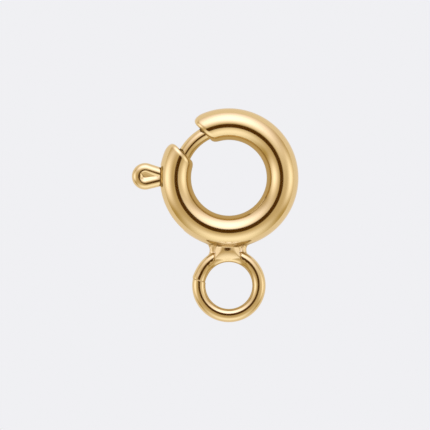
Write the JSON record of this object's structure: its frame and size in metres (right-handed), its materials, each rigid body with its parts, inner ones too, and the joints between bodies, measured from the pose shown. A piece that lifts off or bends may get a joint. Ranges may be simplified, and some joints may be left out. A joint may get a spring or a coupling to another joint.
{
  "type": "spring ring clasp",
  "caption": "Spring ring clasp: a round tube with a mouth, a sprung latch wire with a looped thumb trigger, and a soldered end ring for the chain.",
  "frame": {"origin": "centre of the clasp's ring, on the mid-plane of its tube", "axes": "+Z along the ring's axis, towards the viewer of the picture; +Y away from the end ring; the trigger points along -X"},
  "size_m": [0.0072, 0.0092, 0.0014],
  "materials": {
    "gold": "polished yellow gold",
    "spring_steel": "drawn spring wire"
  },
  "bodies": {
    "ring": {"ring_body": "gold", "return_spring": "spring_steel"},
    "latch": {"latch_trigger": "gold"}
  },
  "joints": [
    {"name": "latch_slide", "type": "hinge", "parent": "ring", "child": "latch", "pos_m": [0, 0, 0], "axis": [0, 0, 1], "range_deg": [0, 41.07], "stiffness_Nm_per_rad": 0.003, "springref_deg": -34.38, "deforming": ["return_spring"]}
  ]
}
